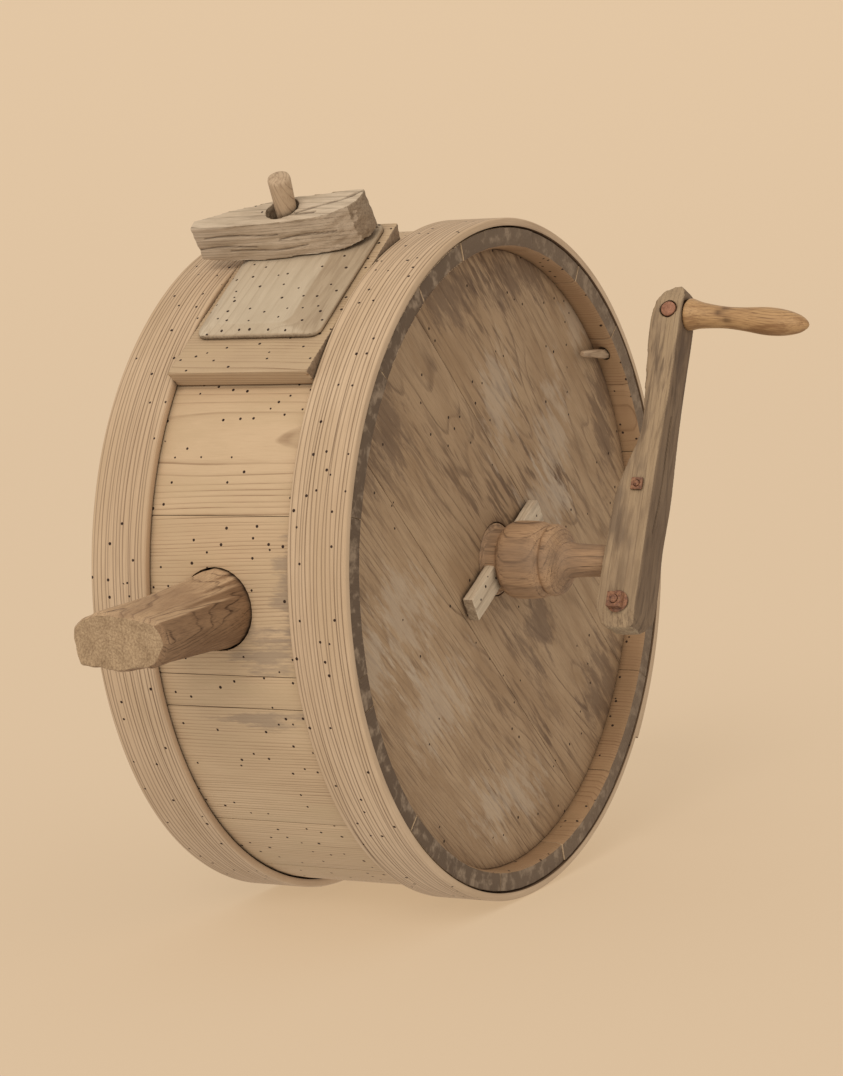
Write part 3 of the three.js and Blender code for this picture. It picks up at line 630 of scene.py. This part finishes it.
INSIDE_WOOD = wood("inside wood", srgb(160, 128, 96), srgb(84, 62, 44), lines=0.5, fibre=0.3)
IRON = rusty_iron("rusty iron")


# ---- Staves ----
def stave_mesh(i, node):
    bm = cad_bmesh(node)
    if i in MOUTH_STAVES:
        return remeshed(bm, node, 0.0011, 2)
    return mesh_of(worn_edges(bm, 0.0003 if i == BUNG_STAVE else 0.0009), node)


def staves():
    """The staves, quarter-sawn but for three. Each is trimmed a little short, by its own amount."""
    rng = np.random.default_rng(4)
    trim = 0.0012
    ends = STAVE_JOINTS[1:] + (STAVE_JOINTS[0] + 360,)
    for i, (start, end) in enumerate(zip(STAVE_JOINTS, ends)):
        node = f"stave_{i + 1:02d}"
        pith = (0.0, 0.055) if i in FLAT_SAWN_STAVES else (0.16 + 0.03 * (i % 3), 0.02)
        mesh = stave_mesh(i, node)
        points = coords(mesh)
        for side in (1, -1):
            outer = points[:, 0] * side > RIM_X - 0.0011
            points[outer, 0] -= side * rng.uniform(0, trim)
        mesh.vertices.foreach_set("co", points.ravel())
        mark_grain(mesh, round_drum(math.radians((start + end) / 2), pith, True, 0.7 * i))
        piece(node + "_wood", mesh, PINE_STAINED if i in STAINED_STAVES else PINE_PLAIN, node)


# ---- Hoops ----
def hoop_edge(edge, inwards, top):
    """One edge of a hoop's section, from the bore outwards: (x, radius, how dark), open at the bore. The dark
    values at the bore paint shade into the small gap between the hoop's edge and the staves.
    """
    return [(edge + inwards * 0.006, HOOP_BORE, 0.6), (edge + inwards * 0.005, HOOP_BORE + 0.0007, 0.6),
            (edge, HOOP_BORE + 0.0010, 0.3), (edge, HOOP_BORE + 0.0024, 0), (edge, top - 0.0014, 0),
            (edge + inwards * 0.0005, top - 0.0004, 0), (edge + inwards * 0.0014, top, 0)]


def hoop(node, seed):
    """A split strip whose raised grain runs all the way round, its outer end lapped over its start."""
    low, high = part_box(node)
    rng = np.random.default_rng(seed)
    ridges, around, half_groove, groove_depth = 15, 300, 0.0007, 0.0005
    pitch = (high.x - low.x) / ridges
    phases = rng.uniform(0, 2 * np.pi, (ridges, 3))
    swings = rng.uniform(0.15, 1.0, ridges)
    even = np.arange(around) * 2 * np.pi / around
    turns = np.sort(np.append(even, [LAP_FROM - 0.006, LAP_FROM, LAP_TO]))
    bm = bmesh.new()
    mark = bm.verts.layers.float.new("line")
    rings = []
    for a in turns:
        rise = LAP_RISE * (LAP_TO - a) / (LAP_TO - LAP_FROM) if LAP_FROM <= a <= LAP_TO else 0.0
        top = HOOP_R + rise - 0.0003 * (1 + math.sin(3 * a + seed) * math.sin(7 * a))
        row = hoop_edge(low.x, 1, top)
        for k in range(ridges - 1):
            sway = 0.0007 * math.sin(2 * a + phases[k][0]) + 0.0004 * math.sin(9 * a + phases[k][1])
            x = low.x + (k + 1) * pitch + sway
            deep = swings[k] * (0.65 + 0.35 * math.sin(5 * a + phases[k][2]))
            row += [(x - half_groove, top, 0), (x, top - groove_depth * deep, 0.6 + 0.4 * deep),
                    (x + half_groove, top, 0)]
        row += hoop_edge(high.x, -1, top)[::-1]
        ring = []
        for x, r, dark in row:
            vert = bm.verts.new((x, -r * math.sin(a), AXLE + r * math.cos(a)))
            vert[mark] = dark
            ring.append(vert)
        rings.append(ring)
    for one, two in zip(rings, rings[1:] + rings[:1]):
        for k in range(len(one)):
            j = (k + 1) % len(one)
            bm.faces.new((one[k], one[j], two[j], two[k]))
    bmesh.ops.recalc_face_normals(bm, faces=bm.faces)
    mesh = mesh_of(bm, node, sharp=50)
    mark_grain(mesh, round_drum(LAP_FROM, (0.4, 0.0), False, shift=seed))
    piece(node + "_wood", mesh, HOOP_WOOD, node)


# ---- Heads ----
def heads():
    """Three boards in each head, their grain at 45 degrees."""
    diagonal = math.sqrt(0.5)
    for side, label in ((1, "front"), (-1, "rear")):
        along = (0, diagonal, -diagonal * side)
        across = (0, diagonal * side, diagonal)
        for i in range(3):
            node = f"{label}_head_board_{i + 1}"
            place = straight(along, across, pith=(0.02 - 0.07 * i, 0.11 + 0.03 * i), shift=0.9 * i)
            mesh = mesh_of(worn_edges(cad_bmesh(node), 0.0005), node)
            mark_grain(mesh, place)
            piece(node + "_wood", mesh, HEAD_WOOD, node)


# ---- Mouth, lid, block and peg ----
def collar():
    mesh = remeshed(cad_bmesh("mouth_collar"), "mouth_collar", 0.0012, 2)
    mark_grain(mesh, straight(X, MOUTH_ACROSS, pith=(0.1, -0.2)))
    piece("mouth_collar_wood", mesh, COLLAR_WOOD, "mouth_collar")


def lid():
    """The lid and its plug, with painted shade on the bevel on the crank side."""
    for node in ("lid_board", "lid_plug"):
        mesh = remeshed(cad_bmesh(node), node, 0.001, 2)
        shade_side(mesh, X - 0.2 * MOUTH_ACROSS, 0.03, 0.12)
        mark_grain(mesh, straight(MOUTH_ACROSS, -X, pith=(0.03, -0.16)))
        piece(node + "_wood", mesh, LID_WOOD, node)


def turn_block():
    """A hewn block with two cracks on top and four drying cracks along its front."""
    grain = straight(X, MOUTH_ACROSS, pith=(-0.02, -0.21))
    mesh = remeshed(cad_bmesh("turn_block"), "turn_block", 0.0012, 3)
    weather(mesh, grain, [(0.0012, (0.05, 0.016, 0.011)), (0.0007, (0.06, 0.006, 0.005))], 5)
    local, _ = straight(X, MOUTH_ACROSS)(coords(mesh))
    facing = normals(mesh)
    top = (facing @ MOUTH_UP) > 0.6
    front = (facing @ MOUTH_ACROSS) < -0.6
    for path in (((0.004, 0.049), (0.022, 0.056), (0.036, 0.062), (0.051, 0.071)),
                 ((0.004, 0.047), (0.020, 0.049))):
        carve(mesh, local[:, :2], path, 0.0013, 0.0022, top)
    for height, start, stop in ((0.272, -0.078, -0.030), (0.268, -0.052, 0.010),
                                (0.276, -0.010, 0.034), (0.281, -0.07, -0.01)):
        path = [(start + (stop - start) * t, height + 0.0012 * math.sin(5 * t + start * 90))
                for t in np.linspace(0, 1, 7)]
        carve(mesh, local[:, [0, 2]], path, 0.0009, 0.0009, front)
    # Painted shade on the block's front and on its end towards the crank.
    shade_side(mesh, -MOUTH_ACROSS + 0.6 * X - 0.2 * MOUTH_UP)
    mark_grain(mesh, grain)
    piece("turn_block_wood", mesh, BLOCK_WOOD, "turn_block")


def vent_peg():
    """A whittled peg that leans towards the crank and thickens upwards."""
    low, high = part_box("vent_peg")
    middle = (np.array(low) + np.array(high)) / 2
    lean = math.radians(10)
    axis = math.sin(lean) * X + math.cos(lean) * MOUTH_UP
    half, low_r, top_r = 0.0435, 0.0062, 0.0086
    sides = [(along, low_r + (top_r - low_r) * (along + half) / (2 * half))
             for along in np.linspace(0.0015 - half, half - 0.003, 24)]
    profile = [(-half, 0), (-half, low_r - 0.0008), *sides, (half - 0.0012, top_r - 0.0006),
               (half - 0.0003, top_r - 0.0018), (half, 0)]
    mesh = lathe("vent_peg", profile, middle, axis, 40, 0.05, 3)
    mark_grain(mesh, straight(axis, X + 0.001, origin=middle, pith=(0.001, 0.004)), False)
    piece("vent_peg_wood", mesh, PEG_WOOD, "vent_peg")


def bung():
    """A hewn length of branch, with painted shade on its side towards the crank."""
    grain = straight(-Y, X, pith=(0.012, 0.02))
    mesh = remeshed(cad_bmesh("bung"), "bung", 0.0013, 1)
    weather(mesh, grain, [(0.0012, (0.07, 0.022, 0.02)), (0.0008, (0.05, 0.008, 0.007))], 11)
    shade_side(mesh, X - 0.25 * Z, 0.2, 0.5)
    mark_grain(mesh, grain, False)
    piece("bung_wood", mesh, BRANCH_WOOD, "bung")


# ---- Dasher ----
def shaft():
    """Rear journal, plain shaft, flange inside the head, hub with its groove, and neck up to the arm."""
    head_in, head_out, arm_in = 0.070, 0.086, 0.181
    journal_r, shaft_r, flange_r, bearing_r, neck_r = 0.0116, 0.022, 0.034, 0.0275, 0.0116
    inside = [(-0.069, 0), (-0.069, journal_r), (-0.049, journal_r), (-0.049, shaft_r),
              (head_in - 0.007, shaft_r), (head_in - 0.005, flange_r), (head_in - 0.0005, flange_r),
              (head_in - 0.0005, bearing_r), (head_out + 0.0005, bearing_r)]
    hub = [(head_out + 0.001, 0.024), (0.0972, 0.024), (0.0982, 0.0262), (0.101, 0.0284), (0.106, 0.0294),
           (0.116, 0.0294), (0.124, 0.0289), (0.1295, 0.0275), (0.131, 0.0253)]
    collar_and_neck = [(0.133, 0.0253), (0.1345, 0.0274), (0.1395, 0.0263), (0.1425, 0.0226), (0.145, 0.0168),
                       (0.148, 0.0139), (0.153, 0.0128), (0.166, 0.0121), (arm_in, neck_r), (arm_in, 0)]
    profile = soften(inside + hub + collar_and_neck, 0.0012)
    mesh = lathe("dasher_shaft", profile, CENTRE, X, 96, 0.018, 8)
    mark_grain(mesh, straight(X, Y, pith=(0.004, 0.006)), False)
    piece("dasher_shaft_wood", mesh, SHAFT_WOOD, "dasher_shaft")


def key():
    mesh = remeshed(cad_bmesh("shaft_key"), "shaft_key", 0.0009, 3)
    grain = straight(turned_x(KEY_TURN, Y), turned_x(KEY_TURN, Z), pith=(0.03, 0.0))
    weather(mesh, grain, [(0.0006, (0.03, 0.006, 0.006))], 21)
    mark_grain(mesh, grain)
    piece("shaft_key_wood", mesh, KEY_WOOD, "shaft_key")


def inside_piece(node, wear, grain, shown=True):
    mesh = mesh_of(worn_edges(cad_bmesh(node), wear), node)
    mark_grain(mesh, grain, shown)
    piece(node + "_wood", mesh, INSIDE_WOOD, node)


def paddles_and_bearing():
    for i in range(PADDLES):
        turn = math.radians(PADDLE_TURN + 360 / PADDLES * i)
        inside_piece(f"paddle_{i + 1}", 0.0008, straight(turned_x(turn, Z), X, pith=(0.06, 0.03)))
        inside_piece(f"paddle_pin_{i + 1}", 0.0004, straight(turned_x(turn, Y), X), False)
    inside_piece("rear_bearing", 0.0012, straight(Y, Z, pith=(0.05, 0.04)))


# ---- Crank ----
def crank_arm():
    """The arm, with painted shade on its outer face, and a crack on two of its faces."""
    grain = straight(ARM_ALONG, ARM_ACROSS, pith=(0.03, -0.16))
    mesh = remeshed(cad_bmesh("crank_arm"), "crank_arm", 0.0014, 4)
    weather(mesh, grain, [(0.0011, (0.06, 0.02, 0.014)), (0.0006, (0.05, 0.006, 0.005))], 17)
    local, _ = straight(ARM_ALONG, ARM_ACROSS)(coords(mesh))
    outer = (normals(mesh) @ X) > 0.6
    front = (normals(mesh) @ ARM_ACROSS) < -0.5
    on_front = ((0.06, 0.212), (0.075, 0.2085), (0.092, 0.2052), (0.108, 0.2045))
    carve(mesh, local[:, [0, 2]], on_front, 0.0011, 0.002, front)
    carve(mesh, local[:, :2], ((0.02, -0.006), (0.07, -0.002), (0.11, -0.004)), 0.0011, 0.0012, outer)
    shade_side(mesh, X, 0.3, 0.55)
    mark_grain(mesh, grain, False)
    piece("crank_arm_wood", mesh, ARM_WOOD, "crank_arm")


def grip():
    """A turned grip that droops a little, with its tenon in the arm and three small knots."""
    axis = unit(math.cos(GRIP_DROOP), 0, -math.sin(GRIP_DROOP))
    foot = np.array(CENTRE) + GRIP_FOOT_X * X + GRIP_PIN_AT[1] * ARM_ALONG
    tenon = [(-0.020, 0), (-0.020, 0.0088), (-0.0004, 0.0088), (-0.0002, 0.0115)]
    line = spline([(0.0006, 0.0122), (0.003, 0.0121), (0.012, 0.0099), (0.030, 0.0083), (0.045, 0.0089),
                   (0.062, 0.0104), (0.076, 0.0098), (0.088, 0.0070), (0.094, 0.0034), (0.0958, 0.0010)], 46)
    mesh = lathe("grip", [*tenon, *line, (0.0962, 0)], foot, axis, 56, 0.03, 13)
    local, _ = straight(axis, Y, origin=foot)(coords(mesh))
    knots = np.zeros(len(local))
    for knot in ((0.027, -0.007, 0.004), (0.031, -0.004, 0.007), (0.034, -0.0085, -0.001)):
        away = np.linalg.norm((local - np.array(knot)) / np.array((0.0034, 0.0026, 0.0026)), axis=1)
        knots = np.maximum(knots, np.exp(-away**2))
    set_values(mesh, "line", knots * 0.9)
    mark_grain(mesh, straight(axis, Y, origin=foot, pith=(0.004, 0.009)), False)
    piece("grip_wood", mesh, GRIP_WOOD, "grip")


# ---- Pins and iron ----
def crosswise(name, node, profile, place, material, wobble):
    """A turned piece that crosses the arm, its profile running out of the arm's front face."""
    x, up_arm = place
    centre = np.array(CENTRE) + x * X + up_arm * ARM_ALONG
    mesh = lathe(name, soften(profile, 0.0005), centre, -ARM_ACROSS, 40, wobble, 1)
    mark_grain(mesh, straight(-ARM_ACROSS, X, origin=centre, pith=(0.002, 0.001)), False)
    piece(name, mesh, material, node)


def arm_fasteners():
    """The grip's pin, the bolt with its washer and nut, and the rivet with its burr."""
    pin = [(-0.0134, 0), (-0.0134, 0.0052), (0.0130, 0.0058), (0.0137, 0.0050), (0.0139, 0)]
    crosswise("grip_pin_wood", "grip_pin", pin, GRIP_PIN_AT, PIN_WOOD, 0.03)
    thread = [(along, 0.0032 if k % 2 else 0.0028)
              for k, along in enumerate(np.arange(0.0255, 0.0272, 0.0003))]
    bolt = [(-0.0215, 0), (-0.0215, 0.004), (-0.019, 0.0072), (-0.0183, 0.0075), (-0.0182, 0.0032),
            *thread, (0.0275, 0)]
    crosswise("arm_bolt_iron", "arm_bolt", bolt, NUT_AT, IRON, 0.0)
    washer = [(0.0183, 0), (0.0183, 0.0084), (0.0190, 0.0085), (0.0198, 0.0078), (0.0199, 0)]
    crosswise("arm_washer_iron", "arm_washer", washer, NUT_AT, IRON, 0.04)
    rivet = [(-0.0192, 0), (-0.0190, 0.0028), (-0.0176, 0.0044), (-0.0174, 0.0024),
             (0.0198, 0.0024), (0.0204, 0.0018), (0.0205, 0)]
    crosswise("arm_rivet_iron", "arm_rivet", rivet, RIVET_AT, IRON, 0.05)
    for node, bevel in (("arm_nut", 0.0009), ("rivet_burr", 0.0005)):
        mesh = mesh_of(worn_edges(cad_bmesh(node), bevel), node)
        mark_grain(mesh, straight(X, Y), False)
        piece(node + "_iron", mesh, IRON, node)


def nails():
    """The nails of the hoops and of the collar, their heads uneven."""
    grain = straight(X, Y)
    for k, node in enumerate(sorted(n for n in frame["nodes"] if "nail" in n)):
        mesh = remeshed(cad_bmesh(node), node, 0.00035, 3)
        mark_grain(mesh, grain, False)
        weather(mesh, grain, [(0.0002, (0.003, 0.003, 0.003))], 40 + k)
        piece(node + "_iron", mesh, IRON, node)


def head_peg():
    """A whittled wedge that holds the head in, from the head board into the rim."""
    foot = np.array((0.093, 0.1465, AXLE + 0.1418))
    way = np.array((0.093, 0.2010, AXLE + 0.1375)) - foot
    length = np.linalg.norm(way)
    profile = soften([(0, 0), (0, 0.0020), (0.004, 0.0026), (length, 0.0048), (length, 0)], 0.0004)
    mesh = lathe("head_retaining_peg", profile, foot, way, 7, 0.05, 6)
    mark_grain(mesh, straight(way, X, origin=foot, pith=(0.003, 0.002)), False)
    piece("head_retaining_peg_wood", mesh, PEG_WOOD, "head_retaining_peg")


# ---- Stage, camera and lights ----
FLOOR_COLOUR, FLOOR_GLOW = srgb(140, 124, 106), srgb(182, 157, 125)
FLOOR_FLAT, WALL_AT, WALL_HEIGHT = 4.0, 9.0, 3.2
CAMERA_TURN, CAMERA_RISE, CAMERA_ROLL = math.radians(29.49), math.radians(7), math.radians(-3.21)
CAMERA_AWAY, CAMERA_RIGHT, CAMERA_UP = 2.36485, 0.01957, 0.01374
CAMERA_LENS, CAMERA_SENSOR = 103.85, 36.0
LAMP_AWAY = 3.0

right = Vector((math.cos(CAMERA_TURN), math.sin(CAMERA_TURN), 0))
back = Vector((math.sin(CAMERA_TURN) * math.cos(CAMERA_RISE), -math.cos(CAMERA_TURN) * math.cos(CAMERA_RISE),
               math.sin(CAMERA_RISE)))
up = back.cross(right)


def stage():
    """A pale floor that sweeps up to a low wall all round. It takes shadows but casts none."""
    sides = 96
    profile = [(0.6, 0), (2.0, 0), (FLOOR_FLAT, 0)]
    profile += [(FLOOR_FLAT + (WALL_AT - FLOOR_FLAT) * math.sin(t), WALL_HEIGHT * (1 - math.cos(t)))
                for t in np.linspace(0.12, math.pi / 2, 14)]
    circle = [(math.cos(2 * math.pi * i / sides), math.sin(2 * math.pi * i / sides)) for i in range(sides)]
    bm = bmesh.new()
    rings = [[bm.verts.new((0, 0, 0))]]
    rings += [[bm.verts.new((r * x, r * y, z)) for x, y in circle] for r, z in profile]
    join_rings(bm, rings)
    bmesh.ops.recalc_face_normals(bm, faces=bm.faces)
    if bm.faces[:][0].normal.z < 0:
        bmesh.ops.reverse_faces(bm, faces=bm.faces)
    floor = bpy.data.objects.new("floor", mesh_of(bm, "floor", 80))
    bpy.context.scene.collection.objects.link(floor)
    paper = bpy.data.materials.new("pale floor")
    paper.use_nodes = True
    shader = paper.node_tree.nodes["Principled BSDF"]
    shader.inputs["Base Color"].default_value = FLOOR_COLOUR
    shader.inputs["Emission Color"].default_value = FLOOR_GLOW
    shader.inputs["Emission Strength"].default_value = 1.0
    shader.inputs["Roughness"].default_value = 0.95
    shader.inputs["Specular IOR Level"].default_value = 0.1
    floor.data.materials.append(paper)
    floor.visible_shadow = False
    floor.visible_diffuse = False


def camera():
    data = bpy.data.cameras.new("camera")
    data.sensor_fit = "VERTICAL"
    data.sensor_height = CAMERA_SENSOR
    data.lens = CAMERA_LENS
    cam = bpy.data.objects.new("camera", data)
    bpy.context.scene.collection.objects.link(cam)
    side = math.cos(CAMERA_ROLL) * right + math.sin(CAMERA_ROLL) * up
    top = -math.sin(CAMERA_ROLL) * right + math.cos(CAMERA_ROLL) * up
    place = CENTRE + back * CAMERA_AWAY + right * CAMERA_RIGHT + up * CAMERA_UP
    cam.matrix_world = Matrix([[side[i], top[i], back[i], place[i]] for i in range(3)] + [[0, 0, 0, 1]])
    bpy.context.scene.camera = cam


def sun(name, way, power, spread, color=(1.0, 1.0, 1.0)):
    data = bpy.data.lights.new(name, "SUN")
    data.energy = power
    data.angle = math.radians(spread)
    data.color = color
    lamp = bpy.data.objects.new(name, data)
    bpy.context.scene.collection.objects.link(lamp)
    lamp.location = CENTRE + way.normalized() * LAMP_AWAY
    lamp.rotation_mode = "QUATERNION"
    lamp.rotation_quaternion = way.to_track_quat("Z", "Y")


def lights():
    """A soft key from the bung's side, a softer fill from the camera and an even pale room."""
    sun("key", Vector((0.12, -0.78, 0.58)), 1.14, 30)
    sun("fill", back, 0.45, 60, color=(0.96, 0.98, 1.0))
    world = bpy.data.worlds.new("pale room")
    world.use_nodes = True
    shade = world.node_tree.nodes["Background"]
    shade.inputs["Color"].default_value = (1.0, 1.0, 1.0, 1)
    shade.inputs["Strength"].default_value = 0.70
    bpy.context.scene.world = world
    bpy.context.scene.view_settings.view_transform = "Standard"


staves()
hoop("front_hoop", 1)
hoop("rear_hoop", 2)
heads()
collar()
lid()
turn_block()
vent_peg()
bung()
shaft()
key()
paddles_and_bearing()
crank_arm()
grip()
arm_fasteners()
nails()
head_peg()
stage()
camera()
lights()
